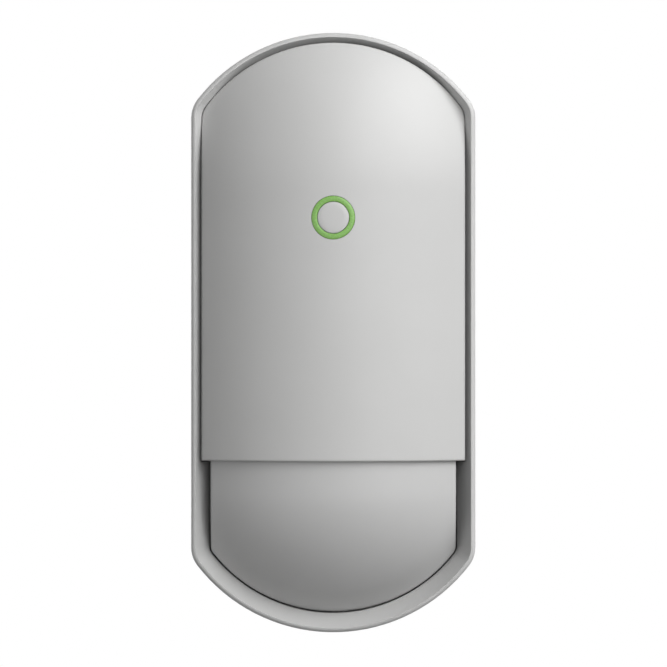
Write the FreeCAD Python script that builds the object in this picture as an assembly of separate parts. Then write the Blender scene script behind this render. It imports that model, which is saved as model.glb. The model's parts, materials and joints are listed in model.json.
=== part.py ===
import FreeCAD, Part
import math
import os

# Wall-mounted motion detector. Millimetres. The wall face is y = 0, the front looks
# along -Y and +Z is up. Depths are distances from the wall, so y is minus the depth.

# Outline seen from the front: straight sides with an arc at each end
body_width = 60.0
end_radius = 36.25
end_centre_z = 27.0
corner_radius = 6.3
least_corner = 0.8

# Walls, and heights of the front's levels above one another
floor = 2.0
wall = 2.0
deck_clearance = 3.3
deck_thickness = 2.0
slope_floor_rise = 1.6
rim_rise = 6.6
panel_rise = 16.6

# Rear housing: flats at 45 degrees for corners of rooms, bevels at the ends
side_flat = 10.0
end_bevel = 6.0
knockout_radius = 2.2
knockout_depth = 0.8
knockout_z = 28.0

# Lap joint between the rear housing and the cover
skirt_lap = 1.0
cover_gap = 0.3
tongue_wall = 0.9
tongue_height = 4.0
tongue_root = 2.0

# Fixing to the wall and cable entry
wall_screw_x = -11.0
wall_screw_spacing = 100.0
wall_screw_radius = 2.1
cable_slot_width = 12.0
cable_slot_height = 8.0
cable_slot_x = 8.0

# Cover hinge at the top edge
hinge_setback = 1.0
hinge_drop = 2.15
hinge_pin_radius = 0.6
knuckle_radius = 1.3
knuckle_inner = 3.4
knuckle_outer = 6.5
knuckle_side_gap = 0.3
barrel_radius = 2.35
barrel_half = 14.0
hinge_gap = 0.35
hinge_running_gap = 0.05
hinge_pin_half = 8.0

# Cover screw at the bottom edge
screw_radius = 1.5
screw_head_radius = 2.6
screw_head_height = 1.9
screw_setback = 3.2
screw_pocket_gap = 0.4
screw_shank_gap = 0.2
screw_length = 9.5
pad_half = 6.0
pad_wall = 0.8
pad_front_gap = 0.2
pad_floor = 2.5
pocket_depth = 3.25
pad_swing_gap = 0.6
boss_half = 4.0
boss_height = 7.0
thread_gap = 0.05

# Front frame: rim and sloping inner wall
rim_width = 0.93
rim_round = 0.85
slope_inset = 3.8

# Upper panel
panel_inset = 2.2
panel_gap = 0.05
panel_foot = -27.0
panel_foot_gap = 0.3
panel_wall = 1.1
panel_arc = 44.0
panel_bend_z = 30.0
panel_bend_radius = 60.0
panel_bend_turn = 60.0

# Panel clips
clip_setback = 6.5
clip_zs = (-8.0, 43.0)
clip_width = 5.0
clip_thickness = 1.4
clip_barb = 0.8
clip_barb_height = 1.5
clip_barb_gap = 0.1
clip_gap = 0.3

# Lower window
window_gap = 0.3
window_step_gap = 0.15
window_wall = 1.3
window_overlap = 3.0
window_bend_z = -33.0
window_bend_radius = 31.0
window_bend_turn = 70.0
window_flange = 1.2
window_flange_gap = 0.4
seal_thickness = 0.5
seal_width = 1.3
deck_edge_gap = 0.4
flange_overlap = 2.5

# Lens behind the window and its retainer
lens_arch = 7.85
lens_side_gap = 3.6
lens_thickness = 0.8
lens_height = 20.0
lens_front_gap = 4.4
lens_top_drop = 0.5
retainer_thickness = 1.5
retainer_border = 3.2
retainer_tab_x = 15.0
retainer_tab_half = 4.0
retainer_tab_height = 7.0
retainer_screw_radius = 0.9
retainer_screw_length = 4.4
retainer_head_radius = 1.8
retainer_head_height = 1.0
retainer_boss_radius = 2.6

# Round light guide in the panel
ring_z = 24.0
ring_radius = 4.55
ring_stroke = 1.2
ring_fit = 0.05
ring_tube = 4.0
ring_bridge = 1.2
ring_flange_width = 1.05
ring_flange_thickness = 1.0
ring_flange_gap = 0.05
stem_radius = 1.75
stem_gap = 0.5
stem_hole_gap = 0.45

# Circuit board
board_depth = 12.0
board_thickness = 1.6
board_side_gap = 2.2
board_corner = 1.5
wiring_height = 22.25
board_foot_height = 19.25
post_radius = 3.0
board_screw_radius = 1.25
board_hole_gap = 0.35
board_head_radius = 2.6
board_head_height = 1.5
board_screw_length = 7.0
board_screw_z = 15.0
post_setback = 5.3
peg_radius = 1.2
peg_height = 1.4
peg_rise = 6.0

# Heat sensor
sensor_drop = 7.0
can_radius = 4.15
can_height = 4.2
can_flange_radius = 4.6
can_flange_height = 0.5
can_standoff = 1.0
filter_width = 4.6
filter_height = 3.6
filter_thickness = 0.4
lead_radius = 0.22
lead_circle = 2.5
lead_hole_gap = 0.2
lead_tail = 1.0
shroud_radius = 7.0
shroud_height = 5.0
shroud_gap = 0.25
shroud_flare = 1.0

# Terminal block
terminal_count = 6
terminal_pitch = 4.0
terminal_end = 1.0
terminal_width = 8.0
terminal_height = 9.5
terminal_edge = 1.5
terminal_entry = 2.8
terminal_entry_depth = 5.4
terminal_entry_rise = 1.6
terminal_screw_radius = 1.3
terminal_screw_hole = 1.5
terminal_screw_length = 3.0
terminal_screw_sink = 0.6
clamp_wall = 0.3
clamp_gap = 0.1

# Relay, chip, capacitors and small parts on the board
relay_size = (7.5, 15.0, 8.0)
relay_side_gap = 0.65
relay_top_gap = 4.0
relay_round = 0.5
chip_size = (4.0, 9.0, 1.6)
chip_place = (4.0, -2.0)
chip_standoff = 0.15
chip_lead_count = 7
chip_lead_pitch = 1.27
chip_lead_width = 0.4
chip_lead_thickness = 0.2
chip_lead_reach = 1.0
capacitor_radius = 3.1
capacitor_height = 6.0
capacitor_round = 0.5
capacitor_setback = 10.3
capacitor_zs = (4.0, -4.5)
resistor_size = (1.6, 0.8, 0.5)
resistor_count = 6
resistor_pitch = 2.2
resistor_x = -6.0
resistor_top_z = 6.0
ceramic_size = (1.3, 2.0, 0.9)
ceramic_count = 5
ceramic_pitch = 3.0
ceramic_left_x = -6.0
ceramic_z = -14.0
regulator_size = (6.5, 6.0, 2.3)
regulator_setback = 10.8
regulator_z = -14.0
tab_size = (5.2, 2.0, 0.6)

# Switches and the sensitivity trimmer
dip_count = 3
dip_pitch = 2.54
dip_width = 6.2
dip_height = 3.0
dip_end = 0.7
dip_setback = 10.3
dip_z = 5.0
dip_slot_width = 1.4
dip_slot_length = 3.2
dip_slot_depth = 1.2
dip_slider_length = 1.6
dip_slider_proud = 0.6
dip_gap = 0.1
trimmer_side = 6.4
trimmer_height = 3.2
trimmer_setback = 9.8
trimmer_z = -9.0
rotor_radius = 2.3
rotor_gap = 0.1
rotor_height = 1.5
rotor_sink = 1.6
rotor_slot = 0.6
rotor_slot_depth = 0.8
tamper_side = 6.0
tamper_height = 4.0
tamper_setback = 6.3
tamper_drop = 1.5
plunger_radius = 1.5
plunger_gap = 0.08
plunger_well = 2.6
plunger_bottom_gap = 0.2
plunger_proud = 2.7
tamper_post_radius = 2.0
tamper_post_gap = 0.1

# Indicator lamp
lamp_radius = 1.5
lamp_flange_radius = 1.9
lamp_flange_height = 0.8
lamp_height = 3.4

# Places worked out from the sizes above
overcut = 1.0
root_two = math.sqrt(2.0)
body_top = end_centre_z + end_radius
body_half = body_width / 2.0
board_front = board_depth + board_thickness
board_half = body_half - wall - board_side_gap
board_high = body_top - wiring_height
board_low = -body_top + board_foot_height
terminal_front = board_front + terminal_height
terminal_z = board_high - terminal_edge - terminal_width / 2.0
post_x = board_half - post_setback
peg_z = board_low + peg_rise
deck_rear = terminal_front + deck_clearance
deck_depth = deck_rear + deck_thickness
slope_floor_depth = deck_depth + slope_floor_rise
rim_depth = deck_depth + rim_rise
panel_depth = deck_depth + panel_rise
wall_face_half = body_half - side_flat
flange_front = deck_rear - seal_thickness
flange_rear = flange_front - window_flange
retainer_rear = flange_rear - retainer_thickness
pocket_radius = screw_head_radius + screw_pocket_gap
pad_depth = retainer_rear - pad_front_gap
screw_depth = pad_depth - pad_wall - pocket_radius
parting_depth = screw_depth - screw_setback
hinge_depth = parting_depth - hinge_setback
hinge_z = body_top - hinge_drop
groove_radius = barrel_radius + hinge_gap
groove_half = barrel_half + hinge_gap
tongue_outer = skirt_lap + cover_gap
tongue_inner = tongue_outer + tongue_wall
pocket_z = -body_top + pocket_depth
pad_top_z = pocket_z + pad_floor
boss_low_z = pad_top_z + pad_swing_gap
window_depth = panel_depth - panel_wall - window_step_gap
window_arc = panel_arc - panel_wall - window_step_gap
window_inset = slope_inset + window_gap
window_top = panel_foot + window_overlap
deck_foot = window_top + deck_edge_gap
flange_inset = wall + window_flange_gap
flange_top = deck_foot + flange_overlap
retainer_screw_z = flange_top + retainer_tab_height / 2.0
lens_half = body_half - window_inset - window_wall - lens_side_gap
lens_radius = (lens_half ** 2 + lens_arch ** 2) / (2.0 * lens_arch)
lens_top = window_top - window_wall - lens_top_drop
lens_front = window_depth - window_wall - lens_front_gap
clip_x = body_half - panel_inset - panel_wall - clip_setback
relay_x = -(post_x - board_head_radius - relay_side_gap - relay_size[0] / 2.0)
relay_z = terminal_z - terminal_width / 2.0 - relay_top_gap - relay_size[1] / 2.0
dip_place = (board_half - dip_setback, dip_z)
trimmer_place = (board_half - trimmer_setback, trimmer_z)
capacitor_x = -board_half + capacitor_setback
regulator_place = (-board_half + regulator_setback, regulator_z)
tamper_place = (board_half - tamper_setback, terminal_z - tamper_drop)
sensor_z = panel_foot - sensor_drop
lamp_top = board_front + lamp_flange_height + lamp_height
can_front = board_front + can_standoff + can_height
dip_front = board_front + dip_height
trimmer_front = board_front + trimmer_height
plunger_tip = board_front + tamper_height + plunger_proud
wall_screw_zs = (-wall_screw_spacing / 2.0, wall_screw_spacing / 2.0)


def at(x, depth, z):
    return FreeCAD.Vector(x, -depth, z)


def box(x0, x1, d0, d1, z0, z1):
    return Part.makeBox(x1 - x0, d1 - d0, z1 - z0, at(x0, d1, z0))


def block(place, size, d0):
    """Box of size (x, z, depth) on a face at depth d0, centred on place (x, z)."""
    x, z = place
    across, high, deep = size
    return box(x - across / 2, x + across / 2, d0, d0 + deep, z - high / 2, z + high / 2)


def rod(radius, d0, d1, x, z):
    return Part.makeCylinder(radius, d1 - d0, at(x, d0, z), FreeCAD.Vector(0, -1, 0))


def upright(radius, z0, z1, x, depth):
    return Part.makeCylinder(radius, z1 - z0, at(x, depth, z0), FreeCAD.Vector(0, 0, 1))


def cross_rod(radius, x0, x1, depth, z):
    return Part.makeCylinder(radius, x1 - x0, at(x0, depth, z), FreeCAD.Vector(1, 0, 0))


def both_sides(shape):
    """The shape and its mirror image in the middle plane, as a list."""
    return [shape, shape.mirror(FreeCAD.Vector(0, 0, 0), FreeCAD.Vector(1, 0, 0))]


def edge_arc(a, middle, b):
    return Part.Arc(a, middle, b).toShape()


def end_edges(inset, depth, sign):
    """Arc and two corners at one end of the outline, from right to left."""
    half = body_half - inset
    radius = end_radius - inset
    corner = max(corner_radius - inset, least_corner)
    reach_x = half - corner
    reach_z = math.sqrt((radius - corner) ** 2 - reach_x ** 2)
    turn = math.atan2(reach_z, reach_x)
    mid_x = reach_x + corner * math.cos(turn / 2)
    mid_z = reach_z + corner * math.sin(turn / 2)
    join_x = radius * math.cos(turn)
    join_z = radius * math.sin(turn)

    def spot(x, z):
        return at(x, depth, sign * (end_centre_z + z))

    right = edge_arc(spot(half, reach_z), spot(mid_x, mid_z), spot(join_x, join_z))
    across = edge_arc(spot(join_x, join_z), spot(0, radius), spot(-join_x, join_z))
    left = edge_arc(spot(-join_x, join_z), spot(-mid_x, mid_z), spot(-half, reach_z))
    return [right, across, left], spot(half, reach_z), spot(-half, reach_z)


def outline(inset, depth):
    top, top_right, top_left = end_edges(inset, depth, 1)
    low, low_right, low_left = end_edges(inset, depth, -1)
    sides = [
        Part.LineSegment(low_right, top_right).toShape(),
        Part.LineSegment(top_left, low_left).toShape(),
    ]
    return Part.Wire(Part.__sortEdges__(top + low + sides))


def slab(inset, d0, d1):
    """The outline, moved inwards by inset, between two depths."""
    return Part.Face(outline(inset, d0)).extrude(FreeCAD.Vector(0, d0 - d1, 0))


def between(shape, z0, z1):
    """The part of a shape between two heights."""
    reach = body_width
    return shape.common(box(-reach, reach, -reach, 2 * reach, z0, z1))


def taper(half_at_wall, d0, d1, along_z):
    """Block that widens at 45 degrees from the wall, through the whole body."""
    reach = 2 * body_top
    corners = [(-half_at_wall - d0, d0), (half_at_wall + d0, d0),
               (half_at_wall + d1, d1), (-half_at_wall - d1, d1)]
    if along_z:
        points = [at(across, depth, -reach) for across, depth in corners]
        path = FreeCAD.Vector(0, 0, 2 * reach)
    else:
        points = [at(-reach, depth, across) for across, depth in corners]
        path = FreeCAD.Vector(2 * reach, 0, 0)
    return Part.Face(Part.makePolygon(points + points[:1])).extrude(path)


def housing_block(inset, d0, d1):
    """Body outline narrowed towards the wall by flats and end bevels."""
    lean = inset * root_two
    body = slab(inset, d0, d1)
    body = body.common(taper(wall_face_half - lean, d0, d1, True))
    return body.common(taper(body_top - end_bevel - lean, d0, d1, False))


def bulge(front, arc, half, bend_z, bend_radius, back, far, bend_turn):
    """Everything behind a face that is arched across and bends back at one end.

    The face runs straight from height far to bend_z, then turns by bend_turn degrees."""
    sag = arc - math.sqrt(arc ** 2 - half ** 2)

    def section(rear, z):
        points = [at(-half, rear, z), at(half, rear, z),
                  at(half, front - sag, z), at(-half, front - sag, z)]
        edges = [
            Part.LineSegment(points[3], points[0]).toShape(),
            Part.LineSegment(points[0], points[1]).toShape(),
            Part.LineSegment(points[1], points[2]).toShape(),
            edge_arc(points[2], at(0, front, z), points[3]),
        ]
        return Part.Face(Part.Wire(edges))

    straight = section(back, far).extrude(FreeCAD.Vector(0, 0, bend_z - far))
    axis_depth = front - bend_radius
    bent = section(axis_depth, bend_z).revolve(at(0, axis_depth, bend_z), FreeCAD.Vector(1, 0, 0), bend_turn)
    return straight.fuse(bent).removeSplitter()


def panel_volume(inset):
    """Volume behind the panel's front face, moved in by inset."""
    half = body_half - rim_width
    return bulge(panel_depth - inset, panel_arc - inset, half, panel_bend_z,
                 panel_bend_radius - inset, parting_depth, panel_foot - wall, -panel_bend_turn)


def window_volume(inset):
    """Volume behind the window's front face, moved in by inset."""
    half = body_half - slope_inset
    return bulge(window_depth - inset, window_arc - inset, half, window_bend_z,
                 window_bend_radius - inset, parting_depth, window_top + wall, window_bend_turn)


def posts():
    """Posts that carry the board: two take screws, two have locating pegs."""
    inside = housing_block(wall / 2, floor / 2, board_front + peg_height)
    made = []
    for x in (-post_x, post_x):
        screw_post = rod(post_radius, floor / 2, board_depth, x, board_screw_z)
        core = rod(board_screw_radius, board_front - board_screw_length - overcut,
                   board_depth + overcut, x, board_screw_z)
        made.append(screw_post.common(inside).cut(core))
        peg_post = rod(post_radius, floor / 2, board_depth, x, peg_z)
        peg = rod(peg_radius, floor, board_front + peg_height, x, peg_z)
        made.append(peg_post.fuse(peg).common(inside))
    return made


def hinge_lugs():
    """Knuckles that carry the hinge pin, each with a web to the top wall."""
    web_low = hinge_z - knuckle_radius
    web_depth = hinge_depth - groove_radius - wall
    knuckle = cross_rod(knuckle_radius, knuckle_inner, knuckle_outer, hinge_depth, hinge_z)
    web = box(knuckle_inner, knuckle_outer, web_depth, hinge_depth, web_low, hinge_z + hinge_pin_radius)
    lug = knuckle.fuse(web)
    hole = cross_rod(hinge_pin_radius, 0, knuckle_outer + overcut, hinge_depth, hinge_z)
    return both_sides(lug.cut(hole))


def knockouts():
    """Thin round places on the 45-degree flats, to be opened for corner fixing."""
    middle = (body_half - wall_face_half) / 2
    start = middle - overcut / root_two
    made = []
    for z in (-knockout_z, knockout_z):
        point = at(wall_face_half + middle + overcut / root_two, start, z)
        inwards = FreeCAD.Vector(-1, -1, 0)
        cut = Part.makeCylinder(knockout_radius, overcut + knockout_depth, point, inwards)
        made += both_sides(cut)
    return made


def rear_housing():
    shell = housing_block(0, 0, parting_depth)
    shell = shell.cut(housing_block(wall, floor, parting_depth + overcut))
    tongue_top = parting_depth + tongue_height
    tongue = slab(tongue_outer, parting_depth - tongue_root, tongue_top)
    tongue = tongue.cut(slab(tongue_inner, parting_depth - tongue_root, tongue_top))
    above = body_top - end_radius / 2
    half = groove_half + cover_gap
    tongue = tongue.cut(box(-half, half, parting_depth, tongue_top, above, body_top))
    half = pad_half + pad_swing_gap
    tongue = tongue.cut(box(-half, half, parting_depth, tongue_top, -body_top, -above))
    shell = shell.fuse(tongue)
    shell = shell.cut(cross_rod(groove_radius, -groove_half, groove_half, hinge_depth, hinge_z))
    boss_front = screw_depth + screw_radius + wall / 2
    boss = box(-boss_half, boss_half, floor / 2, boss_front, boss_low_z, boss_low_z + boss_height)
    shell = shell.multiFuse([boss] + posts() + hinge_lugs())
    cuts = knockouts()
    thread = screw_radius + thread_gap
    cuts.append(upright(thread, boss_low_z - overcut, boss_low_z + boss_height + overcut, 0, screw_depth))
    for z in wall_screw_zs:
        cuts.append(rod(wall_screw_radius, -overcut, floor + overcut, wall_screw_x, z))
    slot_x = cable_slot_x - cable_slot_width / 2
    slot_z = wall_screw_zs[1] - cable_slot_height / 2
    cuts.append(box(slot_x, slot_x + cable_slot_width, -overcut, floor + overcut,
                    slot_z, slot_z + cable_slot_height))
    return shell.cut(cuts).removeSplitter()


def hinge_pin():
    return cross_rod(hinge_pin_radius, -hinge_pin_half, hinge_pin_half, hinge_depth, hinge_z)


def screw(radius, length, head_radius, head_height):
    """Screw with its shank along +Z from z = 0 and its cross-slotted head below that plane."""
    round_off = head_height / 4
    slot_width = radius / 2
    slot_depth = head_height / 2
    slot_half = head_radius * 0.6
    head = Part.makeCylinder(head_radius, head_height, FreeCAD.Vector(0, 0, -head_height))
    rim = [edge for edge in head.Edges if edge.BoundBox.ZMax < -slot_depth]
    head = head.makeFillet(round_off, rim)
    corner = FreeCAD.Vector(-slot_half, -slot_width / 2, -head_height)
    bar = Part.makeBox(2 * slot_half, slot_width, slot_depth, corner)
    other = bar.copy()
    other.rotate(FreeCAD.Vector(0, 0, 0), FreeCAD.Vector(0, 0, 1), 90)
    return head.cut([bar, other]).fuse(Part.makeCylinder(radius, length))


def cover_screw():
    made = screw(screw_radius, screw_length, screw_head_radius, screw_head_height)
    made.translate(at(0, screw_depth, pocket_z - thread_gap))
    return made


def panel_clips():
    """Uprights from the panel's inner face through the deck, each with a barb behind it."""
    inside = panel_volume(panel_wall / 2)
    barb_front = deck_rear - clip_barb_gap
    foot = barb_front - clip_barb_height
    made = []
    for z in clip_zs:
        z0 = z - clip_width / 2
        z1 = z + clip_width / 2
        stem = box(clip_x, clip_x + clip_thickness, foot, panel_depth, z0, z1).common(inside)
        barb = box(clip_x, clip_x + clip_thickness + clip_barb, foot, barb_front, z0, z1)
        made += both_sides(stem.fuse(barb).removeSplitter())
    return made


def front_frame():
    body = slab(0, parting_depth, rim_depth)
    rim = [edge for edge in body.Edges if edge.BoundBox.YMax < -rim_depth + rim_round / 2]
    body = body.makeFillet(rim_round, rim)
    dish = Part.makeLoft([outline(rim_width, rim_depth), outline(slope_inset, slope_floor_depth)], True, True)
    recess = between(slab(panel_inset - panel_gap, deck_depth, rim_depth + overcut),
                     panel_foot - panel_foot_gap, body_top)
    aperture = between(slab(slope_inset, parting_depth, rim_depth + overcut), -body_top, deck_foot)
    hollow = slab(wall, parting_depth - overcut, deck_rear)
    lap = slab(skirt_lap, parting_depth - overcut, parting_depth + tongue_height + cover_gap)
    frame = body.cut([dish, recess, aperture, hollow, lap])
    frame = frame.multiFuse([hinge_barrel(), screw_pad(), tamper_post()] + retainer_bosses())
    cuts = lug_slots() + screw_pocket() + panel_clip_slots() + retainer_screw_holes()
    cuts.append(rod(stem_radius + stem_hole_gap, deck_rear - overcut, deck_depth + overcut, 0, ring_z))
    pin_hole = hinge_pin_radius + hinge_running_gap
    reach = hinge_pin_half + hinge_gap
    cuts.append(cross_rod(pin_hole, -reach, reach, hinge_depth, hinge_z))
    return frame.cut(cuts).removeSplitter()


def hinge_barrel():
    barrel = cross_rod(barrel_radius, -barrel_half, barrel_half, hinge_depth, hinge_z)
    return barrel.common(slab(0, 0, rim_depth))


def lug_slots():
    """Room in the barrel for the housing's knuckles."""
    x0 = knuckle_inner - knuckle_side_gap
    x1 = knuckle_outer + knuckle_side_gap
    return both_sides(cross_rod(groove_radius, x0, x1, hinge_depth, hinge_z))


def screw_pad():
    pad = box(-pad_half, pad_half, parting_depth, pad_depth, -body_top, pad_top_z)
    return pad.common(slab(0, parting_depth, pad_depth))


def screw_pocket():
    """Pocket for the screw's head and slot for its shank, both open to the rear."""
    rear = parting_depth - overcut
    head = upright(pocket_radius, -body_top - overcut, pocket_z, 0, screw_depth)
    head_way = box(-pocket_radius, pocket_radius, rear, screw_depth, -body_top - overcut, pocket_z)
    shank_radius = screw_radius + screw_shank_gap
    shank = upright(shank_radius, pocket_z - overcut, pad_top_z + overcut, 0, screw_depth)
    shank_way = box(-shank_radius, shank_radius, rear, screw_depth, pocket_z - overcut, pad_top_z + overcut)
    return [head, head_way, shank, shank_way]


def tamper_post():
    x, z = tamper_place
    return rod(tamper_post_radius, plunger_tip + tamper_post_gap, deck_depth - deck_thickness / 2, x, z)


def retainer_bosses():
    return both_sides(rod(retainer_boss_radius, flange_rear, deck_depth - deck_thickness / 2,
                          retainer_tab_x, retainer_screw_z))


def retainer_screw_holes():
    tip = retainer_rear + retainer_screw_length
    hole = rod(retainer_screw_radius, flange_rear - overcut, tip, retainer_tab_x, retainer_screw_z)
    return both_sides(hole)


def panel_clip_slots():
    made = []
    for z in clip_zs:
        slot = box(clip_x - clip_barb, clip_x + clip_thickness + clip_gap,
                   deck_rear - overcut, deck_depth + overcut,
                   z - clip_width / 2 - clip_gap, z + clip_width / 2 + clip_gap)
        made += both_sides(slot)
    return made


def front_panel():
    outer = slab(panel_inset, deck_depth, panel_depth + overcut).common(panel_volume(0))
    outer = between(outer, panel_foot, body_top)
    inner = slab(panel_inset + panel_wall, deck_depth - overcut, panel_depth).common(panel_volume(panel_wall))
    shell = outer.cut(inner).multiFuse(panel_clips())
    ring_hole = rod(ring_radius + ring_fit, deck_depth, panel_depth + overcut, 0, ring_z)
    return shell.cut(ring_hole).removeSplitter()


def light_ring():
    """Ring flush with the panel, on a bridge and a stem that ends over the lamp."""
    back = panel_depth - ring_tube
    tube = rod(ring_radius, back, panel_depth + overcut, 0, ring_z)
    core = rod(ring_radius - ring_stroke, back + ring_bridge, panel_depth + 2 * overcut, 0, ring_z)
    tube = tube.cut(core).common(panel_volume(0))
    flange_radius = ring_radius + ring_flange_width
    inner_arc = panel_arc - panel_wall
    sag = inner_arc - math.sqrt(inner_arc ** 2 - flange_radius ** 2)
    seat = panel_depth - panel_wall - sag - ring_flange_gap
    flange = rod(flange_radius, seat - ring_flange_thickness, seat, 0, ring_z)
    flange = flange.cut(rod(ring_radius - ring_stroke, back, panel_depth, 0, ring_z))
    stem = rod(stem_radius, lamp_top + stem_gap, back + ring_bridge / 2, 0, ring_z)
    return tube.multiFuse([flange, stem]).removeSplitter()


def ring_insert():
    """Round piece in the panel's finish that fills the ring."""
    back = panel_depth - ring_tube + ring_bridge
    plug = rod(ring_radius - ring_stroke - ring_fit, back, panel_depth + overcut, 0, ring_z)
    return plug.common(panel_volume(0))


def lens_window():
    outer = slab(window_inset, flange_rear, window_depth + overcut).common(window_volume(0))
    outer = between(outer, -body_top, window_top)
    inner = slab(window_inset + window_wall, flange_rear - overcut, window_depth)
    inner = inner.common(window_volume(window_wall))
    inner = between(inner, -body_top, window_top - window_wall)
    flange = between(slab(flange_inset, flange_rear, flange_front), -body_top, flange_top)
    hole = between(slab(window_inset + window_wall, flange_rear - overcut, flange_front + overcut),
                   -body_top, window_top - window_wall)
    flange = flange.cut(hole)
    tabs = both_sides(rod(retainer_boss_radius + cover_gap, flange_rear - overcut, deck_depth,
                          retainer_tab_x, retainer_screw_z))
    return outer.cut(inner).fuse(flange.cut(tabs)).removeSplitter()


def window_seal():
    """Soft ring squeezed between the window's flange and the frame."""
    ring = between(slab(flange_inset, flange_front, deck_rear), -body_top, flange_top)
    ring_hole = between(slab(flange_inset + seal_width, flange_front - overcut, deck_rear + overcut),
                        -body_top, flange_top - seal_width)
    ring = ring.cut(ring_hole)
    bosses = both_sides(rod(retainer_boss_radius + cover_gap, flange_rear, deck_depth,
                            retainer_tab_x, retainer_screw_z))
    return ring.cut(bosses)


def arc_sheet(radius, half, front, thickness, z0, z1):
    """Sheet arched across, between two heights, with its arc's crown at depth front."""
    def section(r, h):
        drop = r - math.sqrt(r ** 2 - h ** 2)
        crown = front - (radius - r)
        return at(-h, crown - drop, z0), at(0, crown, z0), at(h, crown - drop, z0)

    a, middle, b = section(radius, half)
    c, inner_middle, d = section(radius - thickness, half)
    edges = [
        edge_arc(a, middle, b),
        Part.LineSegment(b, d).toShape(),
        edge_arc(d, inner_middle, c),
        Part.LineSegment(c, a).toShape(),
    ]
    return Part.Face(Part.Wire(edges)).extrude(FreeCAD.Vector(0, 0, z1 - z0))


def fresnel_lens():
    """Thin arched lens sheet on two legs that stand on the retainer."""
    low = lens_top - lens_height
    sheet = arc_sheet(lens_radius, lens_half, lens_front, lens_thickness, low, lens_top)
    leg = box(lens_half - lens_thickness, lens_half, flange_rear, lens_front - lens_arch, low, lens_top)
    return sheet.multiFuse(both_sides(leg)).removeSplitter()


def lens_retainer():
    plate = between(slab(flange_inset, retainer_rear, flange_rear), -body_top, flange_top)
    tab = box(retainer_tab_x - retainer_tab_half, retainer_tab_x + retainer_tab_half,
              retainer_rear, flange_rear, flange_top - overcut, flange_top + retainer_tab_height)
    plate = plate.multiFuse(both_sides(tab))
    opening_half = lens_half - retainer_border
    opening = box(-opening_half, opening_half, retainer_rear - overcut, flange_rear + overcut,
                  lens_top - lens_height - retainer_border, lens_top)
    holes = both_sides(rod(retainer_screw_radius, retainer_rear - overcut, flange_rear + overcut,
                           retainer_tab_x, retainer_screw_z))
    return plate.cut([opening] + holes).removeSplitter()


def retainer_screws():
    """Driven from behind, so their heads are on the wall's side."""
    made = []
    for x in (-retainer_tab_x, retainer_tab_x):
        one = screw(retainer_screw_radius, retainer_screw_length, retainer_head_radius, retainer_head_height)
        one.rotate(FreeCAD.Vector(0, 0, 0), FreeCAD.Vector(1, 0, 0), 90)
        one.translate(at(x, retainer_rear, retainer_screw_z))
        made.append(one)
    return Part.makeCompound(made)


def circuit_board():
    board = box(-board_half, board_half, board_depth, board_front, board_low, board_high)
    corners = [edge for edge in board.Edges if edge.BoundBox.YLength > board_thickness / 2]
    board = board.makeFillet(board_corner, corners)
    cuts = []
    for x in (-post_x, post_x):
        cuts.append(rod(board_screw_radius + board_hole_gap, 0, panel_depth, x, board_screw_z))
        cuts.append(rod(peg_radius + board_hole_gap, 0, panel_depth, x, peg_z))
    for x, z in lead_places():
        cuts.append(rod(lead_radius + lead_hole_gap, 0, panel_depth, x, z))
    return board.cut(cuts)


def board_screws():
    """Driven from the front, so their heads are away from the wall."""
    made = []
    for x in (-post_x, post_x):
        one = screw(board_screw_radius, board_screw_length, board_head_radius, board_head_height)
        one.rotate(FreeCAD.Vector(0, 0, 0), FreeCAD.Vector(1, 0, 0), -90)
        one.translate(at(x, board_front, board_screw_z))
        made.append(one)
    return Part.makeCompound(made)


def lead_places():
    """The sensor's three leads, on a circle, a right angle apart."""
    made = []
    for turn in (-45, 45, 135):
        angle = math.radians(turn)
        made.append((lead_circle * math.sin(angle), sensor_z + lead_circle * math.cos(angle)))
    return made


def sensor_can():
    foot = board_front + can_standoff
    flange = rod(can_flange_radius, foot, foot + can_flange_height, 0, sensor_z)
    can = rod(can_radius, foot, can_front, 0, sensor_z)
    rim = [edge for edge in can.Edges if edge.BoundBox.YMax < -can_front + can_flange_height]
    can = can.makeFillet(can_flange_height, rim)
    well = block((0, sensor_z), (filter_width, filter_height, filter_thickness + overcut),
                 can_front - filter_thickness)
    return can.fuse(flange).cut(well)


def sensor_filter():
    return block((0, sensor_z), (filter_width, filter_height, filter_thickness), can_front - filter_thickness)


def sensor_leads():
    tail = board_depth - lead_tail
    foot = board_front + can_standoff
    return Part.makeCompound([rod(lead_radius, tail, foot, x, z) for x, z in lead_places()])


def sensor_shroud():
    """Black collar round the sensor, opening towards the front."""
    front = board_front + shroud_height
    collar = rod(shroud_radius, board_front, front, 0, sensor_z)
    bore = rod(can_flange_radius + shroud_gap, board_front - overcut, front + overcut, 0, sensor_z)
    mouth = Part.makeCone(can_flange_radius + shroud_gap, can_flange_radius + shroud_gap + shroud_flare,
                          shroud_flare, at(0, front - shroud_flare, sensor_z), FreeCAD.Vector(0, -1, 0))
    return collar.cut([bore, mouth])


def terminal_xs():
    first = -(terminal_count - 1) * terminal_pitch / 2
    return [first + i * terminal_pitch for i in range(terminal_count)]


def entry_box(x, grow, depth_in):
    """Square wire entry from the block's upper side, grown all round."""
    half = terminal_entry / 2 + grow
    middle = board_front + terminal_entry_rise + terminal_entry / 2
    top = terminal_z + terminal_width / 2
    return box(x - half, x + half, middle - half, middle + half, top - depth_in, top)


def terminal_block():
    length = terminal_count * terminal_pitch + 2 * terminal_end
    body = block((0, terminal_z), (length, terminal_width, terminal_height), board_front)
    cuts = []
    for x in terminal_xs():
        cuts.append(entry_box(x, clamp_wall + clamp_gap, terminal_entry_depth))
        cuts.append(rod(terminal_screw_hole, board_front + terminal_entry_rise + terminal_entry,
                        terminal_front + overcut, x, terminal_z))
    return body.cut(cuts)


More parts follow.
